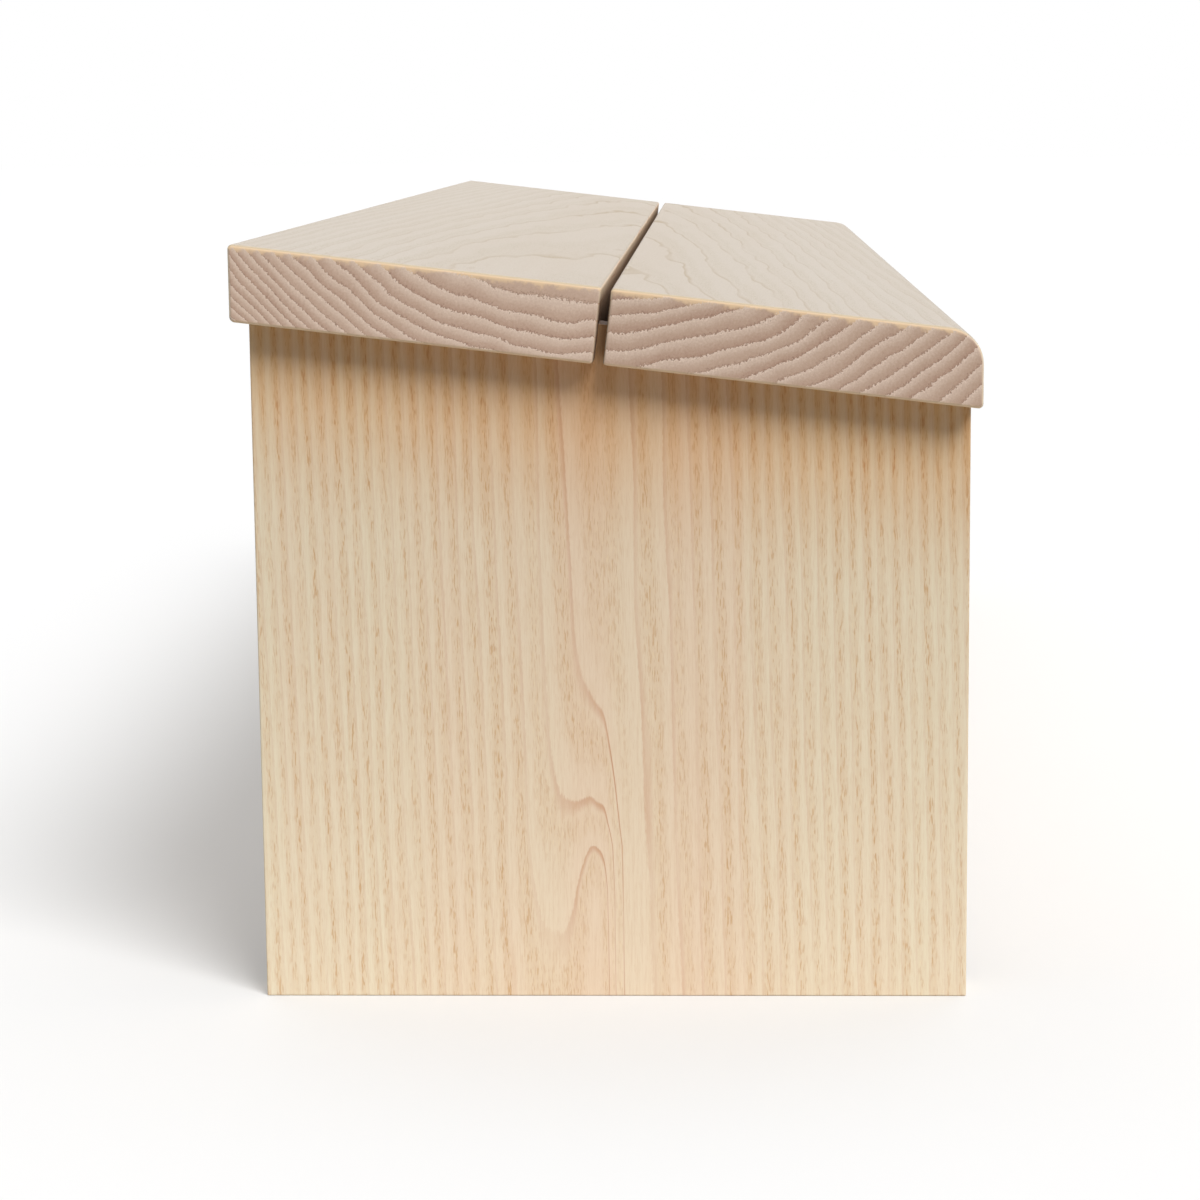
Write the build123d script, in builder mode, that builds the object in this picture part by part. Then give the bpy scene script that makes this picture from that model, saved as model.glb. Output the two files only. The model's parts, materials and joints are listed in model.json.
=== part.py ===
# Storage bench: two slab ends carry a closed box, and a sloping seat of two boards lifts as one lid.
# Millimetres. X runs along the bench, Y from front to rear, Z up. The origin is on the floor, mid-bench.
import os
from math import cos, radians, sin, tan

from build123d import *

# Seat boards
seat_length = 1600.0
seat_depth = 400.0
seat_slope = 7.0
seat_thickness = 41.0
rear_height = 417.0
rear_board_width = 194.8
board_gap = 5.2
front_round = 20.0
front_lower_round = 2.5
rear_upper_round = 2.5
rear_lower_round = 3.0
gap_round = 2.0
board_end_round = 1.8

# Slab ends, with a tongue that stands up into a stopped housing under the seat
end_thickness = 30.0
end_overhang = 20.0
front_overhang = 5.0
rear_overhang = 7.5
end_arris = 1.0
end_top_chamfer = 1.5
tongue_width = 240.0
tongue_height = 20.0
housing_side_clearance = 0.5
housing_end_clearance = 1.5
housing_top_clearance = 1.0

# Front and rear panels, dowelled to the ends
panel_thickness = 20.0
front_setback = 12.0
floor_clearance = 30.0
lid_gap = 1.6
panel_arris = 1.0
dowel_radius = 4.0
dowel_length = 40.0
dowel_count = 4
dowel_margin = 40.0
dowel_clearance = 0.05
dowel_end_room = 0.5

# Floor panel on four cleats
floor_thickness = 12.0
floor_edge_clearance = 1.0
cleat_width = 20.0
cleat_height = 22.0
cleat_screw_count = 6
end_cleat_screw_count = 3
cleat_screw_margin = 50.0

# Battens under the seat
batten_width = 45.0
batten_thickness = 22.0
batten_inset = 140.0
batten_end_clearance = 15.0
batten_round = 4.0
batten_screw_edge = 28.0
batten_slot_travel = 4.0
batten_screw_sink = 7.0

# Butt hinges at the rear
hinge_length = 75.0
hinge_inset = 280.0
hinge_setback = 7.8
leaf_width = 19.0
leaf_thickness = 1.6
knuckle_radius = 3.5
knuckle_count = 5
knuckle_clearance = 0.3
knuckle_end_gap = 0.2
knuckle_relief = 0.4
mortise_clearance = 0.1
pin_radius = 1.5
pin_end_round = 0.5
pin_running_clearance = 0.05
pin_tight_clearance = 0.01
leaf_screw_count = 3
leaf_screw_margin = 12.0
leaf_screw_row = 11.5

# Felt buffers on the front panel
buffer_radius = 6.0
buffer_count = 4
buffer_margin = 150.0

# Screws: countersunk in the hinges, cleats and floor, with pan heads in the battens
hinge_screw_head_radius = 3.0
hinge_screw_shank_radius = 1.5
hinge_screw_length = 20.0
cleat_screw_head_radius = 3.8
cleat_screw_shank_radius = 1.9
cleat_screw_length = 32.0
floor_screw_head_radius = 3.6
floor_screw_shank_radius = 1.8
floor_screw_length = 26.0
batten_screw_head_radius = 4.6
batten_screw_shank_radius = 2.2
batten_screw_length = 42.0
batten_head_height = 3.0
batten_head_round = 1.5
countersink_angle = 90.0
screw_slot_width = 0.8
screw_slot_depth = 0.7
screw_point = 4.0
screw_fit = 0.05
head_clearance = 0.1
screw_end_room = 0.5

# Places worked out from the sizes above
slope = radians(seat_slope)
rear_edge = seat_depth / 2
seat_base = rear_height - seat_thickness / cos(slope)
seat_run = seat_depth / cos(slope)
edge_lean = seat_thickness * tan(slope)
gap_rear = -rear_board_width
gap_front = gap_rear - board_gap
gap_middle = (gap_rear + gap_front) / 2
end_outer = seat_length / 2 - end_overhang
end_inner = end_outer - end_thickness
end_front = -rear_edge + front_overhang
end_rear = rear_edge - rear_overhang
front_outer = end_front + front_setback
front_inner = front_outer + panel_thickness
rear_inner = end_rear - panel_thickness
cleat_top = floor_clearance + cleat_height
cleat_middle = floor_clearance + cleat_height / 2
floor_top = cleat_top + floor_thickness
hinge_run = -hinge_setback
hinge_rise = -lid_gap / 2
knuckle_length = hinge_length / knuckle_count
carcass_knuckles = range(0, knuckle_count, 2)
lid_knuckles = range(1, knuckle_count, 2)

# Each kind of screw: head radius, shank radius and length
hinge_screw = (hinge_screw_head_radius, hinge_screw_shank_radius, hinge_screw_length)
cleat_screw = (cleat_screw_head_radius, cleat_screw_shank_radius, cleat_screw_length)
floor_screw = (floor_screw_head_radius, floor_screw_shank_radius, floor_screw_length)
batten_screw = (batten_screw_head_radius, batten_screw_shank_radius, batten_screw_length)

# The lid's plane lies on the seat's underside: X along the bench, Y up the slope from the lower rear corner
lid_normal = (0, -sin(slope), cos(slope))
lid_plane = Plane(origin=(0, rear_edge, seat_base), x_dir=(1, 0, 0), z_dir=lid_normal)


def seat_section(x):
    # Cross-section plane of the seat at x: local X runs up the slope, local Y is square to it
    return Plane(origin=(x, rear_edge, seat_base), x_dir=(0, cos(slope), sin(slope)), z_dir=(1, 0, 0))


def seat_point(run, rise):
    # Depth and height of a point given up the slope and square to it
    y = rear_edge + run * cos(slope) - rise * sin(slope)
    z = seat_base + run * sin(slope) + rise * cos(slope)
    return (y, z)


def run_at(y):
    # Distance up the slope, on the seat's underside, at the depth y
    return (y - rear_edge) / cos(slope)


def underside(y, below=0.0):
    # Height of the seat's underside at the depth y, or of a plane that lies below it
    return seat_base + (y - rear_edge) * tan(slope) - below / cos(slope)


def lid_spot(x, run, rise, facing):
    # A plane on the lid's own axes whose Z points up (1) or down (-1) from the slope
    normal = Vector(*lid_normal) * facing
    return Plane(origin=lid_plane.from_local_coords((x, run, rise)), x_dir=(1, 0, 0), z_dir=normal)


def spread(low, high, count):
    # Evenly spaced places from low to high
    return [low + (high - low) * i / (count - 1) for i in range(count)]


def save(piece, name):
    piece.label = name
    export_step(piece, f"parts/{name}.step")


os.makedirs("parts", exist_ok=True)

hinge_places = [-seat_length / 2 + hinge_inset, 0.0, seat_length / 2 - hinge_inset]
hinge_names = ["left", "centre", "right"]
batten_places = [-end_inner + batten_inset, 0.0, end_inner - batten_inset]
batten_front = run_at(front_inner) + batten_end_clearance
batten_rear = run_at(rear_inner) - batten_end_clearance
leaf_screw_reach = hinge_length / 2 - leaf_screw_margin
leaf_screw_offsets = spread(-leaf_screw_reach, leaf_screw_reach, leaf_screw_count)
leaf_screw_run = hinge_run - leaf_screw_row


def leaf_spots(places, rise, facing):
    # Head planes of the screws in the leaves at these places
    xs = [place + offset for place in places for offset in leaf_screw_offsets]
    return [lid_spot(x, leaf_screw_run, rise, facing) for x in xs]


carcass_leaf_spots = leaf_spots(hinge_places, -lid_gap, 1)
lid_leaf_spots = leaf_spots(hinge_places, 0.0, -1)

batten_screw_runs = [
    batten_front + batten_screw_edge,
    gap_front - batten_screw_edge,
    gap_rear + batten_screw_edge,
    batten_rear - batten_screw_edge,
]
batten_seat = batten_screw_sink - batten_thickness
batten_spots = [lid_spot(x, run, batten_seat, -1) for x in batten_places for run in batten_screw_runs]

cleat_screw_reach = end_inner - cleat_screw_margin
cleat_screw_xs = spread(-cleat_screw_reach, cleat_screw_reach, cleat_screw_count)
end_cleat_front = front_inner + cleat_width
end_cleat_rear = rear_inner - cleat_width
first_end_screw = end_cleat_front + cleat_screw_margin
last_end_screw = end_cleat_rear - cleat_screw_margin
end_cleat_ys = spread(first_end_screw, last_end_screw, end_cleat_screw_count)
front_cleat_spots = [Plane((x, end_cleat_front, cleat_middle), (1, 0, 0), (0, 1, 0)) for x in cleat_screw_xs]
rear_cleat_spots = [Plane((x, end_cleat_rear, cleat_middle), (1, 0, 0), (0, -1, 0)) for x in cleat_screw_xs]
left_cleat_face = -end_inner + cleat_width
left_cleat_spots = [Plane((left_cleat_face, y, cleat_middle), (0, 1, 0), (1, 0, 0)) for y in end_cleat_ys]
right_cleat_spots = [Plane((-left_cleat_face, y, cleat_middle), (0, 1, 0), (-1, 0, 0)) for y in end_cleat_ys]

floor_screw_xs = [(a + b) / 2 for a, b in zip(cleat_screw_xs, cleat_screw_xs[1:])]
floor_screw_ys = [front_inner + cleat_width / 2, rear_inner - cleat_width / 2]
floor_spots = [Plane((x, y, floor_top), (1, 0, 0), (0, 0, 1)) for y in floor_screw_ys for x in floor_screw_xs]


def dowel_heights(y):
    # Heights of the dowels in the panel whose middle is at the depth y
    return spread(floor_clearance + dowel_margin, underside(y, lid_gap) - dowel_margin, dowel_count)


front_dowel_y = front_outer + panel_thickness / 2
rear_dowel_y = rear_inner + panel_thickness / 2
front_dowel_spots = [(front_dowel_y, z) for z in dowel_heights(front_dowel_y)]
rear_dowel_spots = [(rear_dowel_y, z) for z in dowel_heights(rear_dowel_y)]
dowel_hole_radius = dowel_radius + dowel_clearance
dowel_hole_depth = dowel_length / 2 + dowel_end_room


def rounded_board(corners):
    # A board along the whole seat from its cross-section's corners, each a point with its own radius
    with BuildPart() as board:
        with BuildSketch(seat_section(-seat_length / 2)) as section:
            with BuildLine():
                Polyline(*[point for point, radius in corners], close=True)
            make_face()
            for point, radius in corners:
                fillet(section.vertices().sort_by_distance(point)[0], radius)
        extrude(amount=seat_length)
        ends = board.faces().sort_by(Axis.X)
        fillet(ends[0].edges() + ends[-1].edges(), board_end_round)
    return board.part


def cut_housings():
    # The stopped housings that take the tongues of both ends
    with BuildSketch(lid_plane) as mouths:
        with Locations(*[(side * (end_outer - end_thickness / 2), gap_middle) for side in (-1, 1)]):
            Rectangle(end_thickness + 2 * housing_side_clearance, tongue_width + 2 * housing_end_clearance)
    extrude(mouths.sketch, amount=tongue_height + housing_top_clearance, mode=Mode.SUBTRACT)


def cut_hinge_seats(rise):
    # Mortises for three leaves whose lower faces lie at the given rise, with room round the knuckles
    for place in hinge_places:
        with BuildSketch(lid_plane.offset(rise)) as mortise:
            with Locations((place, hinge_run - leaf_width / 2)):
                Rectangle(hinge_length + 2 * mortise_clearance, leaf_width + 2 * mortise_clearance)
        extrude(mortise.sketch, amount=leaf_thickness, mode=Mode.SUBTRACT)
        with BuildSketch(seat_section(place)) as relief:
            with Locations((hinge_run, hinge_rise)):
                Circle(knuckle_radius + knuckle_relief)
        relief_half = hinge_length / 2 + mortise_clearance
        extrude(relief.sketch, amount=relief_half, both=True, mode=Mode.SUBTRACT)


def cut_screw_bores(spots, screw):
    # The bores that the shanks of these screws sit in
    head, shank, length = screw
    with Locations(*spots):
        Hole(shank + screw_fit, depth=length + screw_end_room)


def cut_countersinks(spots, screw, depth):
    # Countersunk holes through the piece that these screws hold down
    head, shank, length = screw
    with Locations(*spots):
        CounterSinkHole(shank + screw_fit, head + head_clearance, depth, countersink_angle)


def cut_dowel_holes(spots, side, inward):
    # Blind dowel holes from the joint face of one end, towards mid-bench (1) or away from it (-1)
    with BuildSketch(Plane.YZ.offset(side * end_inner)) as mouths:
        with Locations(*spots):
            Circle(dowel_hole_radius)
    extrude(mouths.sketch, amount=-side * inward * dowel_hole_depth, mode=Mode.SUBTRACT)


# Seat boards
with BuildPart() as rear_seat_board:
    add(
        rounded_board(
            [
                ((0, 0), rear_lower_round),
                ((edge_lean, seat_thickness), rear_upper_round),
                ((gap_rear, seat_thickness), gap_round),
                ((gap_rear, 0), gap_round),
            ]
        )
    )
    cut_housings()
    cut_hinge_seats(0.0)
    cut_screw_bores(lid_leaf_spots, hinge_screw)
    cut_screw_bores(batten_spots, batten_screw)

with BuildPart() as front_seat_board:
    add(
        rounded_board(
            [
                ((-seat_run, 0), front_lower_round),
                ((edge_lean - seat_run, seat_thickness), front_round),
                ((gap_front, seat_thickness), gap_round),
                ((gap_front, 0), gap_round),
            ]
        )
    )
    cut_housings()
    cut_screw_bores(batten_spots, batten_screw)

# Slab ends
with BuildPart() as left_end_panel:
    with BuildSketch(Plane.YZ.offset(-end_outer)) as end_outline:
        with BuildLine():
            Polyline(
                (end_front, 0),
                (end_rear, 0),
                (end_rear, underside(end_rear)),
                seat_point(gap_middle + tongue_width / 2, 0),
                seat_point(gap_middle + tongue_width / 2, tongue_height),
                seat_point(gap_middle - tongue_width / 2, tongue_height),
                seat_point(gap_middle - tongue_width / 2, 0),
                (end_front, underside(end_front)),
                close=True,
            )
        make_face()
        for depth in (end_front, end_rear):
            chamfer(end_outline.vertices().sort_by_distance((depth, underside(depth)))[0], end_top_chamfer)
    extrude(amount=end_thickness)
    upright_edges = left_end_panel.edges().filter_by(Axis.Z)
    foot_edges = left_end_panel.faces().sort_by(Axis.Z)[0].edges()
    fillet(upright_edges + foot_edges, end_arris)
    cut_dowel_holes(front_dowel_spots + rear_dowel_spots, -1, -1)
    cut_screw_bores(left_cleat_spots, cleat_screw)

with BuildPart() as right_end_panel:
    mirror(left_end_panel.part, about=Plane.YZ)


def box_panel(outer, inner):
    # A panel between the ends, with its top edge cut parallel to the seat's underside
    with BuildPart() as panel:
        with BuildSketch(Plane.YZ.offset(-end_inner)):
            with BuildLine():
                Polyline(
                    (outer, floor_clearance),
                    (inner, floor_clearance),
                    (inner, underside(inner, lid_gap)),
                    (outer, underside(outer, lid_gap)),
                    close=True,
                )
            make_face()
        extrude(amount=2 * end_inner)
        fillet(panel.edges().filter_by(Axis.X).group_by(Axis.Z)[0], panel_arris)
    return panel.part


# Front and rear panels
with BuildPart() as front_panel:
    add(box_panel(front_outer, front_inner))
    for end_side in (-1, 1):
        cut_dowel_holes(front_dowel_spots, end_side, 1)
    cut_screw_bores(front_cleat_spots, cleat_screw)

with BuildPart() as rear_panel:
    add(box_panel(end_rear, rear_inner))
    for end_side in (-1, 1):
        cut_dowel_holes(rear_dowel_spots, end_side, 1)
    cut_screw_bores(rear_cleat_spots, cleat_screw)
    cut_hinge_seats(-lid_gap - leaf_thickness)
    cut_screw_bores(carcass_leaf_spots, hinge_screw)


def dowels(spots):
    # One panel's dowels, half in the panel and half in the ends
    with BuildPart() as pegs:
        for end_side in (-1, 1):
            with BuildSketch(Plane.YZ.offset(end_side * end_inner)):
                with Locations(*spots):
                    Circle(dowel_radius)
            extrude(amount=dowel_length / 2, both=True)
    return pegs.part


def cleat(low, high):
    # A cleat between two corners on the floor plan
    with BuildPart() as strip:
        with BuildSketch(Plane.XY.offset(floor_clearance)):
            with Locations(((low[0] + high[0]) / 2, (low[1] + high[1]) / 2)):
                Rectangle(high[0] - low[0], high[1] - low[1])
        extrude(amount=cleat_height)
    return strip.part


# Cleats and the floor panel
with BuildPart() as front_floor_cleat:
    add(cleat((-end_inner, front_inner), (end_inner, end_cleat_front)))
    cut_countersinks(front_cleat_spots, cleat_screw, cleat_width)
    cut_screw_bores(floor_spots, floor_screw)

with BuildPart() as rear_floor_cleat:
    add(cleat((-end_inner, end_cleat_rear), (end_inner, rear_inner)))
    cut_countersinks(rear_cleat_spots, cleat_screw, cleat_width)
    cut_screw_bores(floor_spots, floor_screw)

with BuildPart() as left_floor_cleat:
    add(cleat((-end_inner, end_cleat_front), (left_cleat_face, end_cleat_rear)))
    cut_countersinks(left_cleat_spots, cleat_screw, cleat_width)

with BuildPart() as right_floor_cleat:
    mirror(left_floor_cleat.part, about=Plane.YZ)

with BuildPart() as floor_panel:
    floor_length = 2 * (end_inner - floor_edge_clearance)
    floor_depth = rear_inner - front_inner - 2 * floor_edge_clearance
    with BuildSketch(Plane.XY.offset(cleat_top)):
        with Locations((0, (front_inner + rear_inner) / 2)):
            Rectangle(floor_length, floor_depth)
    extrude(amount=floor_thickness)
    cut_countersinks(floor_spots, floor_screw, floor_thickness)


def batten(place):
    # A batten across both boards, with slotted screw holes that let the boards move
    head, shank, length = batten_screw
    with BuildPart() as bar:
        with BuildSketch(lid_plane):
            with Locations((place, (batten_front + batten_rear) / 2)):
                Rectangle(batten_width, batten_rear - batten_front)
        extrude(amount=-batten_thickness)
        lower_face = bar.faces().filter_by(lid_plane).sort_by(Axis.Z)[0]
        fillet(lower_face.edges(), batten_round)
        for run in batten_screw_runs:
            spot = lid_spot(place, run, batten_seat, -1)
            with BuildSketch(spot):
                SlotCenterToCenter(batten_slot_travel, 2 * (shank + head_clearance), rotation=90)
            extrude(amount=-batten_thickness, mode=Mode.SUBTRACT)
            with BuildSketch(spot):
                SlotCenterToCenter(batten_slot_travel, 2 * (head + head_clearance), rotation=90)
            extrude(amount=batten_screw_sink, mode=Mode.SUBTRACT)
    return bar.part


def hinge_leaf(place, rise, knuckles, bore_radius, spots):
    # One hinge leaf: a plate, its share of the knuckles, the pin's bore and countersunk screw holes
    def knuckle_run(index, radius, length, mode):
        middle = place - hinge_length / 2 + knuckle_length * (index + 0.5)
        with BuildSketch(seat_section(middle)) as circle:
            with Locations((hinge_run, hinge_rise)):
                Circle(radius)
        extrude(circle.sketch, amount=length / 2, both=True, mode=mode)

    with BuildPart() as leaf:
        with BuildSketch(lid_plane.offset(rise)):
            with Locations((place, hinge_run - leaf_width / 2)):
                Rectangle(hinge_length, leaf_width)
        extrude(amount=leaf_thickness)
        for index in range(knuckle_count):
            if index not in knuckles:
                swept_radius = knuckle_radius + knuckle_clearance
                knuckle_run(index, swept_radius, knuckle_length + knuckle_end_gap, Mode.SUBTRACT)
        for index in knuckles:
            knuckle_run(index, knuckle_radius, knuckle_length - knuckle_end_gap, Mode.ADD)
        with BuildSketch(seat_section(place)):
            with Locations((hinge_run, hinge_rise)):
                Circle(bore_radius)
        extrude(amount=hinge_length, both=True, mode=Mode.SUBTRACT)
        cut_countersinks(spots, hinge_screw, leaf_thickness)
    return leaf.part


def hinge_pin(place):
    # The pin, tight in the carcass leaf and running in the lid leaf
    with BuildPart() as pin:
        with BuildSketch(seat_section(place)):
            with Locations((hinge_run, hinge_rise)):
                Circle(pin_radius)
        extrude(amount=hinge_length / 2, both=True)
        fillet(pin.edges().filter_by(GeomType.CIRCLE), pin_end_round)
    return pin.part


def wood_screw(screw):
    # A slotted countersunk screw, its head's top at the origin and its point down
    head, shank, length = screw
    head_depth = (head - shank) / tan(radians(countersink_angle / 2))
    with BuildPart() as body:
        with BuildSketch(Plane.XZ):
            with BuildLine():
                Polyline(
                    (0, 0),
                    (head, 0),
                    (shank, -head_depth),
                    (shank, screw_point - length),
                    (0, -length),
                    close=True,
                )
            make_face()
        revolve(axis=Axis.Z)
        Box(2 * head, screw_slot_width, 2 * screw_slot_depth, mode=Mode.SUBTRACT)
    return body.part


def pan_screw(screw):
    # A slotted screw with a flat-bottomed head, whose seat is at the origin and its point down
    head, shank, length = screw
    with BuildPart() as body:
        with BuildSketch(Plane.XZ) as section:
            with BuildLine():
                Polyline(
                    (0, batten_head_height),
                    (head, batten_head_height),
                    (head, 0),
                    (shank, 0),
                    (shank, screw_point - length),
                    (0, -length),
                    close=True,
                )
            make_face()
            fillet(section.vertices().sort_by_distance((head, batten_head_height))[0], batten_head_round)
        revolve(axis=Axis.Z)
        with Locations((0, 0, batten_head_height)):
            Box(2 * head, screw_slot_width, 2 * screw_slot_depth, mode=Mode.SUBTRACT)
    return body.part


def screw_group(model, spots):
    # Copies of one screw, each with its head on a spot
    with BuildPart() as group:
        with Locations(*spots):
            add(model)
    return group.part


# Felt buffers
buffer_reach = end_inner - buffer_margin
buffer_run = run_at(front_outer + panel_thickness / 2)
with BuildPart() as lid_buffers:
    with BuildSketch(lid_plane.offset(-lid_gap)):
        with Locations(*[(x, buffer_run) for x in spread(-buffer_reach, buffer_reach, buffer_count)]):
            Circle(buffer_radius)
    extrude(amount=lid_gap)

save(rear_seat_board.part, "rear_seat_board")
save(front_seat_board.part, "front_seat_board")
save(left_end_panel.part, "left_end_panel")
save(right_end_panel.part, "right_end_panel")
save(front_panel.part, "front_panel")
save(rear_panel.part, "rear_panel")
save(dowels(front_dowel_spots), "front_panel_dowels")
save(dowels(rear_dowel_spots), "rear_panel_dowels")
save(front_floor_cleat.part, "front_floor_cleat")
save(rear_floor_cleat.part, "rear_floor_cleat")
save(left_floor_cleat.part, "left_floor_cleat")
save(right_floor_cleat.part, "right_floor_cleat")
save(floor_panel.part, "floor_panel")
save(lid_buffers.part, "lid_buffers")

for side_name, batten_place in zip(hinge_names, batten_places):
    save(batten(batten_place), f"{side_name}_seat_batten")

for side_name, hinge_place in zip(hinge_names, hinge_places):
    carcass_spots = leaf_spots([hinge_place], -lid_gap, 1)
    lid_spots = leaf_spots([hinge_place], 0.0, -1)
    carcass_bore = pin_radius + pin_tight_clearance
    lid_bore = pin_radius + pin_running_clearance
    carcass_rise = -lid_gap - leaf_thickness
    save(
        hinge_leaf(hinge_place, carcass_rise, carcass_knuckles, carcass_bore, carcass_spots),
        f"{side_name}_hinge_carcass_leaf",
    )
    save(hinge_leaf(hinge_place, 0.0, lid_knuckles, lid_bore, lid_spots), f"{side_name}_hinge_lid_leaf")
    save(hinge_pin(hinge_place), f"{side_name}_hinge_pin")

hinge_screw_model = wood_screw(hinge_screw)
save(screw_group(hinge_screw_model, carcass_leaf_spots), "hinge_carcass_screws")
save(screw_group(hinge_screw_model, lid_leaf_spots), "hinge_lid_screws")
save(screw_group(pan_screw(batten_screw), batten_spots), "seat_batten_screws")
cleat_spots = front_cleat_spots + rear_cleat_spots + left_cleat_spots + right_cleat_spots
save(screw_group(wood_screw(cleat_screw), cleat_spots), "cleat_screws")
save(screw_group(wood_screw(floor_screw), floor_spots), "floor_panel_screws")
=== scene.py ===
import json
import math

import bpy
from mathutils import Matrix, Vector

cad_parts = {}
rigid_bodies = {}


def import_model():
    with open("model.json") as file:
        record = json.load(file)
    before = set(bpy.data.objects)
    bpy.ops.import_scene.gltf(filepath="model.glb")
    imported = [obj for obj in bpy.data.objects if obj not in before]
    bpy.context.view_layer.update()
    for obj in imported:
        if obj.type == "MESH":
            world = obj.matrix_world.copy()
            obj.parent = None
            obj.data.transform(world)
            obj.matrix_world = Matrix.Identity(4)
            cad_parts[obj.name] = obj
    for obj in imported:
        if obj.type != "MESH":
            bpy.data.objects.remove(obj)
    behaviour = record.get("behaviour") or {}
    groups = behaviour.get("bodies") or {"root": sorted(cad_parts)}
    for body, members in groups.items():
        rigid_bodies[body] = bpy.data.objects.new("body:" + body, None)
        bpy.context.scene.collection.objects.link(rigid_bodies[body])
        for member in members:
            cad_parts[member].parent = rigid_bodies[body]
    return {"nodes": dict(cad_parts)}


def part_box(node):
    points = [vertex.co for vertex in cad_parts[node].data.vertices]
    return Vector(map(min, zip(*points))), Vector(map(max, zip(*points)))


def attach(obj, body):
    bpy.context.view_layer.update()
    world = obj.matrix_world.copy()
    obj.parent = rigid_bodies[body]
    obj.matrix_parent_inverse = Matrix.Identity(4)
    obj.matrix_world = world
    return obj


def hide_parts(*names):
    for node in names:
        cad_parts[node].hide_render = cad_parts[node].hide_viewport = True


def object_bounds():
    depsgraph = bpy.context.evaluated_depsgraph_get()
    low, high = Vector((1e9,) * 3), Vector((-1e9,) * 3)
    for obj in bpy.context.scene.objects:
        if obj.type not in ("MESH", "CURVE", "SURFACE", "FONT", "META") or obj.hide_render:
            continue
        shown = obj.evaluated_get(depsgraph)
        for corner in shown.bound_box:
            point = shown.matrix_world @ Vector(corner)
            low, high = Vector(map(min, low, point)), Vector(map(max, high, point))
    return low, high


for leftover in list(bpy.data.objects):
    bpy.data.objects.remove(leftover)

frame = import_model()
cadLow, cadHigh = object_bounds()
nodes = frame["nodes"]
scene = bpy.context.scene
print("frame loaded:", len(nodes), "nodes")


class Wire:
    # a value in a node tree: used in an expression, it adds the Math nodes
    def __init__(self, graph, socket):
        self.graph = graph
        self.socket = socket

    def math(self, operation, *others):
        values = dict(enumerate((self,) + others))
        return self.graph.add("ShaderNodeMath", {"operation": operation}, values)

    def other(self, output):
        return Wire(self.graph, self.socket.node.outputs[output])

    def __add__(self, other):
        return self.math("ADD", other)

    def __sub__(self, other):
        return self.math("SUBTRACT", other)

    def __rsub__(self, other):
        return self.graph.add("ShaderNodeMath", {"operation": "SUBTRACT"}, {0: other, 1: self})

    def __mul__(self, other):
        return self.math("MULTIPLY", other)

    def __truediv__(self, other):
        return self.math("DIVIDE", other)

    def __pow__(self, other):
        return self.math("POWER", other)

    __radd__ = __add__
    __rmul__ = __mul__


class Graph:
    # a node tree, with short ways to add to it
    def __init__(self, tree, owner=None):
        self.tree = tree
        self.owner = owner

    def add(self, kind, settings, sockets, output=0):
        node = self.tree.nodes.new(kind)
        for key, value in settings.items():
            setattr(node, key, value)
        for key, value in sockets.items():
            self.feed(node.inputs[key], value)
        return Wire(self, node.outputs[output]) if node.outputs else None

    def feed(self, socket, value):
        if isinstance(value, Wire):
            self.tree.links.new(value.socket, socket)
        else:
            socket.default_value = value

    def noise(self, vector, scale, detail=2.0, roughness=0.5):
        # scale is a size for each axis, so a grain can be long one way
        stretched = self.add("ShaderNodeVectorMath", {"operation": "MULTIPLY"}, {0: vector, 1: scale})
        sockets = {"Vector": stretched, "Scale": 1.0, "Detail": detail, "Roughness": roughness}
        return self.add("ShaderNodeTexNoise", {}, sockets)

    def ramp(self, value, low, high, shape="LINEAR"):
        sockets = {"Value": value, "From Min": low, "From Max": high}
        return self.add("ShaderNodeMapRange", {"interpolation_type": shape}, sockets)

    def smooth(self, value, low, high):
        return self.ramp(value, low, high, "SMOOTHSTEP")

    def mix(self, factor, first, second, blend="MIX"):
        settings = {"data_type": "RGBA", "blend_type": blend}
        return self.add("ShaderNodeMix", settings, {0: factor, 6: first, 7: second}, 2)

    def split(self, vector):
        first = self.add("ShaderNodeSeparateXYZ", {}, {"Vector": vector})
        return first, first.other(1), first.other(2)

    def join(self, x, y, z):
        return self.add("ShaderNodeCombineXYZ", {}, {"X": x, "Y": y, "Z": z})

    def surface(self, **sockets):
        # sets or links the sockets of the material's own shader
        for name, value in sockets.items():
            self.feed(self.tree.nodes["Principled BSDF"].inputs[name.replace("_", " ")], value)

    def bump(self, height, strength, distance):
        sockets = {"Height": height, "Strength": strength, "Distance": distance}
        return self.add("ShaderNodeBump", {}, sockets)


def tint(red, green, blue):
    # a colour as it is seen, 0 to 255, made linear
    shares = [channel / 255 for channel in (red, green, blue)]
    return tuple(s / 12.92 if s <= 0.04045 else ((s + 0.055) / 1.055) ** 2.4 for s in shares) + (1.0,)


def newFinish(name):
    material = bpy.data.materials.new(name)
    material.use_nodes = True
    return Graph(material.node_tree, material)


def dress(graph, *names):
    for name in names:
        mesh = nodes[name].data
        mesh.materials.clear()
        mesh.materials.append(graph.owner)


# the turn that lays each grain direction along the log's own X
grainTurn = {"X": (0.0, 0.0, 0.0), "Y": (0.0, 0.0, -math.pi / 2), "Z": (0.0, math.pi / 2, 0.0)}
grainAxis = {"X": 0, "Y": 1, "Z": 2}

ashTones = {
    "pale": tint(235, 221, 193),
    "warm": tint(235, 212, 185),
    "early": tint(206, 163, 117),
    "glint": tint(242, 222, 184),
    "line": tint(196, 134, 94),
    "endMid": tint(213, 186, 165),
    "endDark": tint(178, 141, 120),
    "endPore": tint(246, 226, 210),
    "endLine": tint(122, 88, 70),
    # painted highlight tone for the rounded edges of the boards' ends
    "arris": tint(246, 214, 172),
    # painted shade tone for the gap between the boards
    "gap": tint(112, 80, 58),
    # painted shade tone, multiplied onto the ends close under the seat
    "underSeatShade": tint(241, 212, 180),
}

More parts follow.
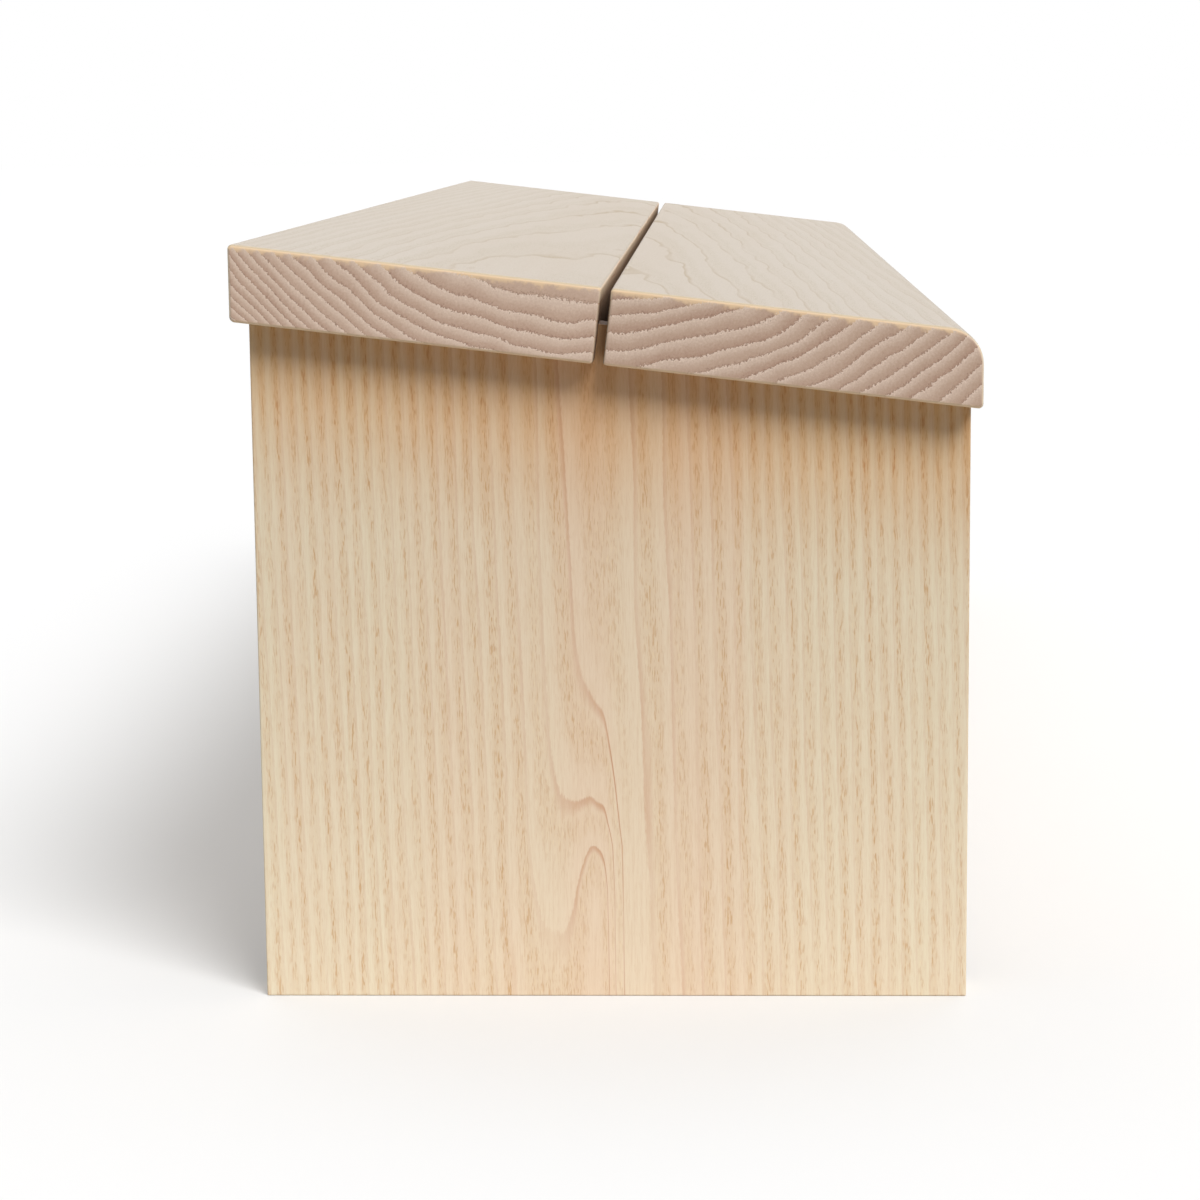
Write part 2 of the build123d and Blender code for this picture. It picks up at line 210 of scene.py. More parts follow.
# patterns that lie along the log: repeats in a metre for each axis, and the levels that show
grain = {
    "pores": {"scale": (190.0, 1700.0, 1700.0), "detail": 1.0, "low": 0.5, "high": 0.68},
    "glints": {"scale": (190.0, 2600.0, 2600.0), "detail": 1.0, "low": 0.54, "high": 0.68},
    "fading": {"scale": (7.0, 30.0, 30.0), "detail": 2.0, "low": 0.3, "high": 0.62},
    "clouds": {"scale": (1.6, 40.0, 40.0), "detail": 3.0, "low": 0.36, "high": 0.64},
    "beads": {"scale": (60.0, 850.0, 850.0), "detail": 1.0, "low": 0.4, "high": 0.56},
    "fibre": {"scale": (34.0, 700.0, 700.0), "detail": 4.0, "roughness": 0.7},
    "mottle": {"scale": (60.0, 500.0, 500.0), "detail": 4.0, "roughness": 0.7},
    "speck": {"scale": (90.0, 1200.0, 1200.0), "detail": 1.0},
    "teeth": {"scale": (260.0, 780.0, 780.0), "detail": 1.0},
    "fray": {"scale": (260.0, 1300.0, 1300.0), "detail": 1.0},
}

# a year's ring from 0 to 1, with its line and its porous band; a By pair is for none and all of a cause
ring = {
    "lineLead": 0.04,
    "lineEnd": (0.14, 0.24),
    "lineByFading": (0.3, 1.0),
    "lineBySlant": (1.0, 0.2),
    "bandRise": 0.3,
    "bandFall": 0.35,
    "bandByPores": (0.4, 1.45),
    "bandByYear": (0.55, 0.95),
    "bandBySlant": (0.5, 1.0),
    "cloudShare": 0.4,
    "fibreLevel": 0.42,
    "fibreRelief": 0.4,
    "poreRelief": (0.2, 1.0),
}

# the same ring on a cut end: beads, pale pores, late wood that darkens, and a rim
cutRing = {
    "bright": (0.03, 0.16),
    "brightByBeads": (0.2, 1.0),
    "brightShare": 0.3,
    "pale": (0.05, 0.6),
    "paleShare": 0.32,
    "paleSpeck": 0.7,
    "dark": (0.2, 0.97),
    "darkByYear": (0.6, 1.0),
    "darkShare": 0.7,
    "darkMottle": 0.7,
    "darkSpeck": 0.8,
    "rim": (0.84, 0.95),
    "rimByBeads": (1.0, 0.2),
}

# how squarely a face looks along the grain, or up, before it counts as a cut end or as a top
facing = {"cutEnd": (0.7, 0.97), "upward": (0.3, 0.8), "level": (0.5, 0.9)}


def between(share, low, high):
    return share * (high - low) + low


def patches(graph, vector, form):
    # 1 where a pattern is strong enough to show
    return graph.smooth(graph.noise(vector, form["scale"], form["detail"]), form["low"], form["high"])


def figureSwell(graph, along, across, form):
    # rings pushed in or out along a strip of the board, more and more towards one end
    offset = across - form["across"]
    climb = graph.ramp(along, form["start"], form["end"])
    wide = between(offset.math("GREATER_THAN", 0.0), form["wideDown"], form["wideUp"])
    share = offset / (wide * between(climb, 1 - form["taper"], 1.0))
    hill = (share * share * -0.5).math("EXPONENT")
    return hill * climb ** form["power"] * form["rings"]


def porousBand(graph, phase, end):
    return graph.smooth(phase, 0.0, ring["bandRise"]) * (1 - graph.smooth(phase, ring["bandFall"], end))


def longGrain(graph, log, phase, yearTone, steep, heart, timber, tones):
    # a thin line, a porous band after it, then smooth late wood
    edge = (phase + ring["lineLead"]).math("FRACT")
    lineFall = graph.smooth(edge, ring["lineLead"], between(steep, *ring["lineEnd"]))
    line = graph.smooth(edge, 0.0, ring["lineLead"]) * (1 - lineFall)
    band = porousBand(graph, phase, timber["bandEnd"])
    pores = patches(graph, log, grain["pores"])
    glints = patches(graph, log, grain["glints"])
    fading = patches(graph, log, grain["fading"])
    clouds = patches(graph, log, grain["clouds"])
    fibre = graph.noise(log, **grain["fibre"])

    warmth = between(ring["cloudShare"], heart, clouds)
    late = graph.mix(warmth, tones["pale"], tones["warm"])
    bandShare = band * between(pores, *ring["bandByPores"]) * between(yearTone, *ring["bandByYear"])
    bandShare = bandShare * between(steep, *ring["bandBySlant"]) * timber["bandShare"]
    banded = graph.mix(bandShare, late, tones["early"])
    glinted = graph.mix(band * glints * timber["glint"], banded, tones["glint"])
    lineShare = line * between(fading, *ring["lineByFading"]) * between(steep, *ring["lineBySlant"])
    lined = graph.mix(lineShare * timber["lineShare"], glinted, tones["line"])
    streaks = (fibre - ring["fibreLevel"]) * timber["fibre"] + pores * timber["scatter"]
    colour = graph.mix(streaks, lined, tones["early"])
    relief = fibre * ring["fibreRelief"] - pores * between(band, *ring["poreRelief"])
    return colour, relief, pores


def cutGrain(graph, log, phase, yearTone, timber, tones):
    # bright beads where a ring starts, a slow darkening, a thin dark rim at its end
    beads = patches(graph, log, grain["beads"])
    mottle = graph.noise(log, **grain["mottle"]) - 0.5
    speck = graph.noise(log, **grain["speck"]) - 0.5
    dark = graph.smooth(phase, *cutRing["dark"]) * between(yearTone, *cutRing["darkByYear"])
    darkShare = dark * cutRing["darkShare"] + mottle * cutRing["darkMottle"] + speck * cutRing["darkSpeck"]
    tinted = graph.mix(darkShare, tones["endMid"], tones["endDark"])
    pale = 1 - graph.smooth(phase, *cutRing["pale"])
    bright = (1 - graph.smooth(phase, *cutRing["bright"])) * between(beads, *cutRing["brightByBeads"])
    paleShare = pale * cutRing["paleShare"] + bright * cutRing["brightShare"] + speck * cutRing["paleSpeck"]
    pored = graph.mix(paleShare, tinted, tones["endPore"])
    rim = graph.smooth(phase, *cutRing["rim"]) * between(beads, *cutRing["rimByBeads"])
    return graph.mix(rim * timber["rimShare"], pored, tones["endLine"])


def ashTimber(name, timber, tones, shadedTopTones=None, tinted=()):
    # growth rings round a pith line, cut by whatever face the piece shows
    graph = newFinish(name)
    coords = graph.add("ShaderNodeTexCoord", {}, {}, "Object")
    normal = graph.split(coords.other("Normal"))
    cutEnd = graph.smooth(normal[grainAxis[timber["grain"]]].math("ABSOLUTE"), *facing["cutEnd"])
    pithY, pithZ = timber["pith"]
    turned = {"Vector": coords, "Rotation": grainTurn[timber["grain"]], "Location": (0.0, -pithY, -pithZ)}
    log = graph.add("ShaderNodeMapping", {}, turned)
    along, across, depth = graph.split(log)
    sideways = across - along * timber["drift"]
    deep = depth - along * timber["lean"]
    radius = (sideways * sideways + deep * deep) ** 0.5
    steep = sideways.math("ABSOLUTE") / radius
    heart = 1 - graph.smooth(sideways.math("ABSOLUTE"), *timber["heart"])

    growth = 1 + timber["narrowing"]
    ringCount = timber["ringRadius"] / (timber["ringWidth"] * growth)
    rings = (radius / timber["ringRadius"]) ** growth * ringCount + timber["ringShift"]
    rings = rings + (graph.noise(log, timber["wanderScale"], 1.0) - 0.5) * timber["wander"]
    rings = rings + (graph.noise(log, timber["rippleScale"], 1.0) - 0.5) * timber["ripple"]
    for form in timber["figure"]:
        rings = rings + figureSwell(graph, along, across, form)
    teeth = graph.noise(log, **grain["teeth"]) - 0.5
    fray = graph.noise(log, **grain["fray"]) - 0.5
    rings = rings + teeth * cutEnd * timber["teeth"] + fray * steep * timber["fray"]
    phase = rings.math("FRACT")
    yearTone = graph.add("ShaderNodeTexWhiteNoise", {"noise_dimensions": "1D"}, {"W": rings.math("FLOOR")})

    # upward faces take the painted top tones, where the light on the top is painted in
    if shadedTopTones:
        upward = graph.smooth(normal[2], *facing["upward"])
        tones = dict(tones)
        for key, top in shadedTopTones.items():
            tones[key] = graph.mix(upward, tones[key], top)
    side, relief, pores = longGrain(graph, log, phase, yearTone, steep, heart, timber, tones)
    colour = graph.mix(cutEnd, side, cutGrain(graph, log, phase, yearTone, timber, tones))
    # overlays of painted shade and painted highlight, each over its own mask
    for mask, key, blend in tinted:
        colour = graph.mix(mask(graph, coords, phase), colour, tones[key], blend)
    graph.surface(Base_Color=colour, Roughness=pores * timber["poreRough"] + timber["roughness"])
    graph.surface(Specular_IOR_Level=timber["sheen"])
    graph.surface(Normal=graph.bump(relief * (1 - cutEnd), timber["bump"], timber["bumpDepth"]))
    return graph


# the plane of the seat's top, the painted highlight on the edges of its ends, the painted shade in its gap,
# and the painted shade under it on the ends
seat = {"slope": math.radians(7.0), "rearTop": 0.417, "thickness": 0.041, "halfGap": 0.0026}
arrisHighlight = {
    "ragged": {"scale": (260.0, 160.0, 160.0), "detail": 3.0, "roughness": 0.6},
    "reachIn": 0.00864,
    "reachDown": 0.00672,
    "reachByRing": (0.5, 1.5),
    "reachUp": 0.0022,
    "solid": 0.4,
    "share": 0.8,
}
gapShade = {"reach": 0.0012, "depth": 0.01025, "share": 0.8}
underSeatShade = {"reach": 0.115, "depth": 0.002, "share": (0.72, 1.02), "bandEnd": 0.9}


def underTop(graph, coords):
    # how far a point lies under the plane of the seat's top
    y, z = graph.split(coords)[1:]
    planeTop = (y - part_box("rear_seat_board")[1].y) * math.tan(seat["slope"]) + seat["rearTop"]
    return (planeTop - z) * math.cos(seat["slope"])


def paintedArrisHighlight(graph, coords, phase):
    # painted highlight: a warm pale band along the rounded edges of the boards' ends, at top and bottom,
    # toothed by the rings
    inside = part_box("rear_seat_board")[1].x - graph.split(coords)[0].math("ABSOLUTE")
    under = underTop(graph, coords)
    ragged = graph.noise(coords, **arrisHighlight["ragged"])
    nearEnd = 1 - graph.smooth(inside, 0.0, ragged * arrisHighlight["reachIn"])
    toothed = ragged * between(phase, *arrisHighlight["reachByRing"]) * arrisHighlight["reachDown"]
    nearTop = 1 - graph.smooth(under, toothed * arrisHighlight["solid"], toothed)
    nearBottom = graph.smooth(under, seat["thickness"] - arrisHighlight["reachUp"], seat["thickness"])
    return nearEnd * nearTop.math("MAXIMUM", nearBottom) * arrisHighlight["share"]


def paintedGapShade(graph, coords, phase):
    # painted shade: the sides of the gap between the boards are painted dark, down to a set depth, as the
    # shade inside the narrow gap
    y = graph.split(coords)[1]
    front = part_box("front_seat_board")[1].y
    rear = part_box("rear_seat_board")[0].y
    under = underTop(graph, coords)
    lean = (under - seat["thickness"] / 2) * math.sin(seat["slope"])
    fromMiddle = (y - (front + rear) / 2 - lean).math("ABSOLUTE")
    sides = 1 - graph.smooth(fromMiddle, seat["halfGap"], gapShade["reach"] + seat["halfGap"])
    return sides * graph.smooth(under, 0.0, gapShade["depth"]) * gapShade["share"]


def paintedLedgeShade(graph, coords, phase):
    # painted shade on the tops of the ends where they show down the gap, in the gap's dark tone
    level = graph.smooth(graph.split(coords.other("Normal"))[2], *facing["level"])
    return paintedGapShade(graph, coords, phase) * level


def paintedUnderSeatShade(graph, coords, phase):
    # painted shade: the outer faces close under the seat are painted darker and warmer, as the shade under
    # the seat's overhang, most where they are porous
    below = underTop(graph, coords) - seat["thickness"]
    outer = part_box("right_end_panel")[1].x
    outside = graph.smooth(graph.split(coords)[0].math("ABSOLUTE"), outer - underSeatShade["depth"], outer)
    share = between(porousBand(graph, phase, underSeatShade["bandEnd"]), *underSeatShade["share"])
    return (1 - graph.smooth(below, 0.0, underSeatShade["reach"])) * outside * share


seatTimber = {
    "grain": "X",
    "pith": (0.0, 0.577),
    "lean": 0.025,
    "drift": 0.0,
    "heart": (0.03, 0.15),
    "ringRadius": 0.2,
    "ringWidth": 0.0077,
    "narrowing": 1.0,
    "ringShift": 0.0,
    "wander": 1.5,
    "wanderScale": (1.3, 13.0, 13.0),
    "ripple": 0.7,
    "rippleScale": (10.0, 46.0, 46.0),
    "figure": [],
    "teeth": 0.45,
    "fray": 0.15,
    "bandEnd": 0.6,
    "bandShare": 0.6,
    "lineShare": 0.8,
    "glint": 0.0,
    "scatter": 0.0,
    "fibre": 0.3,
    "rimShare": 0.42,
    "roughness": 0.55,
    "poreRough": 0.12,
    "sheen": 0.3,
    "bump": 0.2,
    "bumpDepth": 0.0004,
}
# painted shade and sheen: the upward faces of the seat boards take greyer, darker tones than the same ash
# elsewhere, for the strong light and the grazing sheen on the top
seatTopShadedTones = {
    "pale": tint(184, 174, 162),
    "warm": tint(182, 170, 156),
    "early": tint(166, 154, 132),
    "line": tint(154, 134, 104),
    "arris": tint(198, 178, 146),
}
# painted highlight on the edges of the boards' ends, and painted shade in the gap
seatPaintedLight = [(paintedArrisHighlight, "arris", "MIX"), (paintedGapShade, "gap", "MIX")]
frontTimber = dict(seatTimber, ringWidth=0.0092, narrowing=0.3, ringShift=0.43)
frontTones = dict(ashTones, endMid=tint(205, 178, 157), endDark=tint(172, 135, 114))
rearTimber = dict(seatTimber, narrowing=2.4, ringShift=0.3)
for side, timber, tones in (("front", frontTimber, frontTones), ("rear", rearTimber, ashTones)):
    boardFinish = ashTimber("ash " + side + " board", timber, tones, seatTopShadedTones, seatPaintedLight)
    dress(boardFinish, side + "_seat_board")
print("seat boards dressed")

# the flame in the middle of the left end: lines that lean in as they go down, and one small arch
endFlame = {
    "across": 0.0087,
    "wideUp": 0.016,
    "wideDown": 0.0065,
    "rings": 2.19,
    "start": 0.26,
    "end": 0.085,
    "power": 2.0,
    "taper": 0.72,
}
endArch = {
    "across": 0.0127,
    "wideUp": 0.0058,
    "wideDown": 0.0058,
    "rings": 0.98,
    "start": 0.098,
    "end": 0.06,
    "power": 1.0,
    "taper": 0.0,
}
endFoot = dict(endArch, across=0.0302, wideUp=0.014, wideDown=0.01, rings=0.7)
endFoot.update(start=0.09, end=0.01, power=0.8)
endDip = dict(endArch, across=0.0092, wideUp=0.012, wideDown=0.008, rings=-0.4)
endDip.update(start=0.6, end=0.5)
endTimber = dict(
    seatTimber,
    grain="Z",
    pith=(-0.0042, 0.8085),
    lean=0.0,
    drift=0.027,
    ringRadius=0.12,
    ringWidth=0.0083,
    narrowing=0.25,
    ringShift=0.697,
    wander=0.5,
    wanderScale=(2.0, 22.0, 22.0),
    ripple=0.5,
    rippleScale=(6.0, 75.0, 75.0),
    figure=[endFlame, endArch, endFoot, endDip],
    fray=0.14,
    bandEnd=0.78,
    bandShare=0.68,
    lineShare=0.85,
    glint=0.4,
    scatter=0.1,
    fibre=0.75,
)
# painted shade under the seat and down the gap
endPaintedShade = [(paintedUnderSeatShade, "underSeatShade", "MULTIPLY"), (paintedLedgeShade, "gap", "MIX")]
dress(ashTimber("ash left end", endTimber, ashTones, tinted=endPaintedShade), "left_end_panel")
rightFlame = dict(endFlame, across=-0.02, wideUp=0.008, wideDown=0.02, rings=2.6)
rightTimber = dict(endTimber, pith=(0.015, -0.815), ringShift=0.2, figure=[rightFlame])
dress(ashTimber("ash right end", rightTimber, ashTones, tinted=endPaintedShade), "right_end_panel")
print("ends dressed")

panelTimber = dict(
    endTimber,
    grain="X",
    drift=0.004,
    lean=0.006,
    ringRadius=0.15,
    ringWidth=0.0068,
    narrowing=0.3,
    wander=1.8,
    wanderScale=(1.5, 12.0, 12.0),
    figure=[],
)
dress(ashTimber("ash front panel", dict(panelTimber, pith=(-0.25, 0.16)), ashTones), "front_panel")
dress(ashTimber("ash rear panel", dict(panelTimber, pith=(0.27, 0.22)), ashTones), "rear_panel")

stripTimber = dict(panelTimber, ringRadius=0.1, ringWidth=0.005, narrowing=0.1, lean=0.02)
for side, pithHeight in (("front", 0.13), ("rear", -0.06)):
    strip = dict(stripTimber, pith=(0.05, pithHeight))
    dress(ashTimber("ash " + side + " cleat", strip, ashTones), side + "_floor_cleat")
for side, pithX in (("left", 0.83), ("right", -0.66)):
    strip = dict(stripTimber, grain="Y", pith=(pithX, 0.12))
    dress(ashTimber("ash " + side + " cleat", strip, ashTones), side + "_floor_cleat")
for side, pithX in (("left", 0.66), ("centre", 0.05), ("right", -0.56)):
    strip = dict(stripTimber, grain="Y", pith=(pithX, 0.45))
    dress(ashTimber("ash " + side + " batten", strip, ashTones), side + "_seat_batten")
print("panels, cleats and battens dressed")

plySheet = {
    "plies": 9,
    "face": tint(228, 206, 172),
    "figure": tint(206, 176, 134),
    "edgeLight": tint(214, 188, 150),
    "edgeDark": tint(160, 122, 84),
    "swirl": {"scale": (1.6, 14.0, 14.0), "detail": 3.0, "roughness": 0.55},
    "contours": 11,
    "fleck": {"scale": (60.0, 1400.0, 1400.0), "detail": 2.0, "low": 0.55, "high": 0.72},
    "grit": {"scale": (700.0, 700.0, 900.0), "detail": 2.0},
    "figureShare": 0.45,
    "fleckShare": 0.25,
    "crossShare": 0.55,
    "glueShare": 0.35,
    "gritShare": 0.15,
    "glueLine": (0.4, 0.5),
    "flat": (0.4, 0.8),
    "roughness": (0.55, 0.65),
    "bump": 0.2,
    "bumpDepth": 0.0003,
}


def birchPly(name, sheet, node):
    # rotary-cut face veneer, and plies that cross each other on the edges
    graph = newFinish(name)
    low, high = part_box(node)
    coords = graph.add("ShaderNodeTexCoord", {}, {}, "Object")
    height = graph.split(coords)[2]
    swirl = graph.noise(coords, **sheet["swirl"])
    contour = (swirl * sheet["contours"]).math("FRACT")
    figure = graph.smooth(contour, 0.0, 0.5) * (1 - graph.smooth(contour, 0.5, 1.0))
    fleck = patches(graph, coords, sheet["fleck"])
    faceShare = figure * sheet["figureShare"] + fleck * sheet["fleckShare"]
    face = graph.mix(faceShare, sheet["face"], sheet["figure"])
    ply = (height - low.z) / (high.z - low.z) * sheet["plies"]
    crossed = (ply * 0.5).math("FRACT").math("GREATER_THAN", 0.5)
    glue = graph.smooth((ply.math("FRACT") - 0.5).math("ABSOLUTE"), *sheet["glueLine"])
    grit = graph.noise(coords, **sheet["grit"])
    edgeShare = crossed * sheet["crossShare"] + glue * sheet["glueShare"] + grit * sheet["gritShare"]
    edge = graph.mix(edgeShare, sheet["edgeLight"], sheet["edgeDark"])
    upright = graph.split(coords.other("Normal"))[2].math("ABSOLUTE")
    graph.surface(Base_Color=graph.mix(graph.smooth(upright, *sheet["flat"]), edge, face))
    graph.surface(Roughness=between(fleck, *sheet["roughness"]))
    graph.surface(Normal=graph.bump(swirl - fleck, sheet["bump"], sheet["bumpDepth"]))
    return graph


dress(birchPly("birch ply", plySheet, "floor_panel"), "floor_panel")

dowelBeech = {
    "pale": tint(219, 184, 146),
    "dark": tint(180, 132, 94),
    "fleck": {"scale": (160.0, 1500.0, 1500.0), "detail": 2.0, "low": 0.52, "high": 0.66},
    "fleckShare": 0.6,
    "roughness": (0.55, 0.65),
}
beech = newFinish("beech dowel")
beechFleck = patches(beech, beech.add("ShaderNodeTexCoord", {}, {}, "Object"), dowelBeech["fleck"])
beechTone = beech.mix(beechFleck * dowelBeech["fleckShare"], dowelBeech["pale"], dowelBeech["dark"])
beech.surface(Base_Color=beechTone, Roughness=between(beechFleck, *dowelBeech["roughness"]))
dress(beech, "front_panel_dowels", "rear_panel_dowels")
print("floor and dowels dressed")

hingeBrass = {
    "bright": tint(212, 176, 104),
    "dull": tint(150, 112, 58),
    "brush": (12.0, 900.0, 900.0),
    "rough": 0.3,
}
screwBrass = dict(hingeBrass, bright=tint(218, 184, 112), brush=(500.0, 500.0, 60.0), rough=0.26)
pinSteel = {
    "bright": tint(190, 190, 188),
    "dull": tint(118, 116, 112),
    "brush": (20.0, 900.0, 900.0),
    "rough": 0.3,
}
screwSteel = dict(pinSteel, bright=tint(196, 196, 192), brush=(600.0, 600.0, 600.0), rough=0.34)

# brushing and dull patches on all the metal, where hands and air have been
patina = {
    "patch": {"scale": (55.0, 55.0, 55.0), "detail": 3.0, "low": 0.4, "high": 0.72},
    "patchShare": 0.6,
    "patchRough": 0.18,
    "brushDetail": 3.0,
    "brushBreaks": 0.6,
    "brushShare": 0.3,
    "brushRough": 0.1,
    "bump": 0.12,
    "bumpDepth": 0.0001,
}


def metal(name, finish):
    # fine brushing under the patches
    graph = newFinish(name)
    coords = graph.add("ShaderNodeTexCoord", {}, {}, "Object")
    brush = graph.noise(coords, finish["brush"], patina["brushDetail"], patina["brushBreaks"])
    patch = patches(graph, coords, patina["patch"])
    dullShare = patch * patina["patchShare"] + (brush - 0.5) * patina["brushShare"]
    rough = patch * patina["patchRough"] + brush * patina["brushRough"] + finish["rough"]
    graph.surface(Base_Color=graph.mix(dullShare, finish["bright"], finish["dull"]))
    graph.surface(Metallic=1.0, Roughness=rough)
    graph.surface(Normal=graph.bump(brush, patina["bump"], patina["bumpDepth"]))
    return graph


hingeFinish = metal("hinge brass", hingeBrass)
pinFinish = metal("pin steel", pinSteel)
for side in ("left", "centre", "right"):
    dress(hingeFinish, side + "_hinge_carcass_leaf", side + "_hinge_lid_leaf")
    dress(pinFinish, side + "_hinge_pin")
dress(metal("screw brass", screwBrass), "hinge_carcass_screws", "hinge_lid_screws")
dress(metal("screw steel", screwSteel), "seat_batten_screws", "cleat_screws", "floor_panel_screws")
print("hinges and screws dressed")

feltPad = {
    "count": 4,
    "radius": 0.006,
    "thickness": 0.0016,
    "slope": seat["slope"],
    "crown": 0.08,
    "fray": 0.00012,
    "tufts": 1800.0,
    "seed": 5,
    "fill": 0.9,
    "wool": tint(134, 130, 122),
    "shade": tint(92, 89, 84),
    "tangle": {"scale": (2600.0, 2600.0, 2600.0), "detail": 4.0, "roughness": 0.7},
    "tangleShare": 0.7,
    "clump": {"scale": (380.0, 380.0, 380.0), "detail": 3.0},
    "clumpShare": 0.4,
    "shadeLevel": 0.1,
    "roughness": (0.88, 0.98),
    "bump": 0.6,
    "bumpDepth": 0.0004,
}

felt = newFinish("wool felt")
feltCoords = felt.add("ShaderNodeTexCoord", {}, {}, "Object")
tangle = felt.noise(feltCoords, **feltPad["tangle"])
clump = felt.noise(feltCoords, **feltPad["clump"])
shadeShare = tangle * feltPad["tangleShare"] + clump * feltPad["clumpShare"] - feltPad["shadeLevel"]
felt.surface(Base_Color=felt.mix(shadeShare, feltPad["wool"], feltPad["shade"]))
felt.surface(Roughness=between(tangle, *feltPad["roughness"]))
felt.surface(Normal=felt.bump(tangle, feltPad["bump"], feltPad["bumpDepth"]))


def feltDiscs(name, pad, node):
    # soft discs in a row, crowned and a little frayed, where the node has its plain ones
    low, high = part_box(node)
    middle = (low + high) / 2
    firstX = low.x + pad["radius"]
    lastX = high.x - pad["radius"]
    sizes = {
        "Count": ("NodeSocketInt", pad["count"]),
        "Radius": ("NodeSocketFloat", pad["radius"]),
        "Thickness": ("NodeSocketFloat", pad["thickness"]),
        "First": ("NodeSocketVector", (firstX, middle.y, middle.z)),
        "Step": ("NodeSocketVector", ((lastX - firstX) / (pad["count"] - 1), 0.0, 0.0)),
        "Slope": ("NodeSocketFloat", pad["slope"]),
        "Crown": ("NodeSocketFloat", pad["crown"]),
        "Fray": ("NodeSocketFloat", pad["fray"]),
        "Tufts": ("NodeSocketFloat", pad["tufts"]),
        "Seed": ("NodeSocketFloat", float(pad["seed"])),
    }
    tree = bpy.data.node_groups.new("felt discs", "GeometryNodeTree")
    tree.interface.new_socket("Discs", in_out="OUTPUT", socket_type="NodeSocketGeometry")
    for label in sizes:
        tree.interface.new_socket(label, in_out="INPUT", socket_type=sizes[label][0])
    graph = Graph(tree)
    given = graph.add("NodeGroupInput", {}, {})
    size = {label: given.other(label) for label in sizes}

    rounds = {"Vertices": 48, "Side Segments": 6, "Fill Segments": 6}
    rounds.update({"Radius": size["Radius"], "Depth": size["Thickness"]})
    plain = graph.add("GeometryNodeMeshCylinder", {}, rounds)
    x, y, z = graph.split(graph.add("GeometryNodeInputPosition", {}, {}))
    reach = (x * x + y * y) / (size["Radius"] * size["Radius"])
    level = z / size["Thickness"] * 2
    drawn = 1 - level * level * level * level * size["Crown"]
    lowered = 1 - reach * reach * reach * size["Crown"]
    shaped = graph.join(x * drawn, y * drawn, z * lowered)
    disc = graph.add("GeometryNodeSetPosition", {}, {"Geometry": plain, "Position": shaped})

    row = {"Count": size["Count"], "Start Location": size["First"], "Offset": size["Step"]}
    line = graph.add("GeometryNodeMeshLine", {"mode": "OFFSET"}, row)
    turned = graph.join(size["Slope"], 0.0, 0.0)
    copies = {"Points": line, "Instance": disc, "Rotation": turned}
    discs = graph.add("GeometryNodeInstanceOnPoints", {}, copies)
    whole = graph.add("GeometryNodeRealizeInstances", {}, {"Geometry": discs})

    wool = {"Vector": graph.add("GeometryNodeInputPosition", {}, {})}
    wool.update({"W": size["Seed"], "Scale": size["Tufts"]})
    tuft = graph.add("ShaderNodeTexNoise", {"noise_dimensions": "4D"}, wool)
    inward = {"Vector": graph.add("GeometryNodeInputNormal", {}, {}), "Scale": tuft * size["Fray"] * -1.0}
    pulled = graph.add("ShaderNodeVectorMath", {"operation": "SCALE"}, inward)
    frayed = graph.add("GeometryNodeSetPosition", {}, {"Geometry": whole, "Offset": pulled})
    soft = graph.add("GeometryNodeSetShadeSmooth", {}, {"Geometry": frayed})
    finished = graph.add("GeometryNodeSetMaterial", {}, {"Geometry": soft, "Material": felt.owner})
    graph.add("NodeGroupOutput", {}, {"Discs": finished})

    maker = bpy.data.objects.new("felt maker", bpy.data.meshes.new("felt maker"))
    scene.collection.objects.link(maker)
    modifier = maker.modifiers.new("felt discs", "NODES")
    modifier.node_group = tree
    for item in tree.interface.items_tree:
        if item.in_out == "INPUT":
            modifier[item.identifier] = sizes[item.name][1]
    evaluated = maker.evaluated_get(bpy.context.evaluated_depsgraph_get())
    mesh = bpy.data.meshes.new_from_object(evaluated)
    bpy.data.objects.remove(maker)
    piece = bpy.data.objects.new(name, mesh)
    scene.collection.objects.link(piece)
    return piece


feltRow = feltDiscs("lid_buffer_felts", feltPad, "lid_buffers")
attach(feltRow, "carcass")
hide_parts("lid_buffers")
print("felt discs made:", len(feltRow.data.polygons), "faces")

# a soft key from the near end and the front, and a wide weak fill from the far end
keyLight = {"strength": 2.55, "angle": math.radians(29.0), "from": (-0.576, -0.388, 0.719)}
fillLight = {"strength": 0.72, "angle": math.radians(60.0), "from": (0.56, 0.0, 0.83)}


def softLamp(name, plan):
    lampData = bpy.data.lights.new(name, "SUN")
    lampData.energy = plan["strength"]
    lampData.angle = plan["angle"]
    lamp = bpy.data.objects.new(name, lampData)
    lamp.rotation_euler = Vector(plan["from"]).to_track_quat("Z", "Y").to_euler()
    scene.collection.objects.link(lamp)


softLamp("soft key", keyLight)
softLamp("soft fill", fillLight)


def seenDirectly(graph):
    # 1 for what the camera sees, straight or in a reflection
    path = graph.add("ShaderNodeLightPath", {}, {}, "Is Camera Ray")
    mirrored = path.other("Is Glossy Ray").math("MAXIMUM", path.other("Is Transmission Ray"))
    return path.math("MAXIMUM", mirrored)


# a pale ceiling lights the room, brightest overhead, and the backdrop is white
ceiling = {"horizon": 0.0, "overhead": 0.75}
world = bpy.data.worlds.new("studio")
world.use_nodes = True
scene.world = world
studio = Graph(world.node_tree, world)
skyHeight = studio.split(studio.add("ShaderNodeTexCoord", {}, {}, "Generated"))[2].math("MAXIMUM", 0.0)
ambient = between(skyHeight, ceiling["horizon"], ceiling["overhead"])
backdrop = studio.tree.nodes["Background"].inputs
backdrop["Color"].default_value = (1.0, 1.0, 1.0, 1.0)
studio.feed(backdrop["Strength"], ambient.math("MAXIMUM", seenDirectly(studio)))

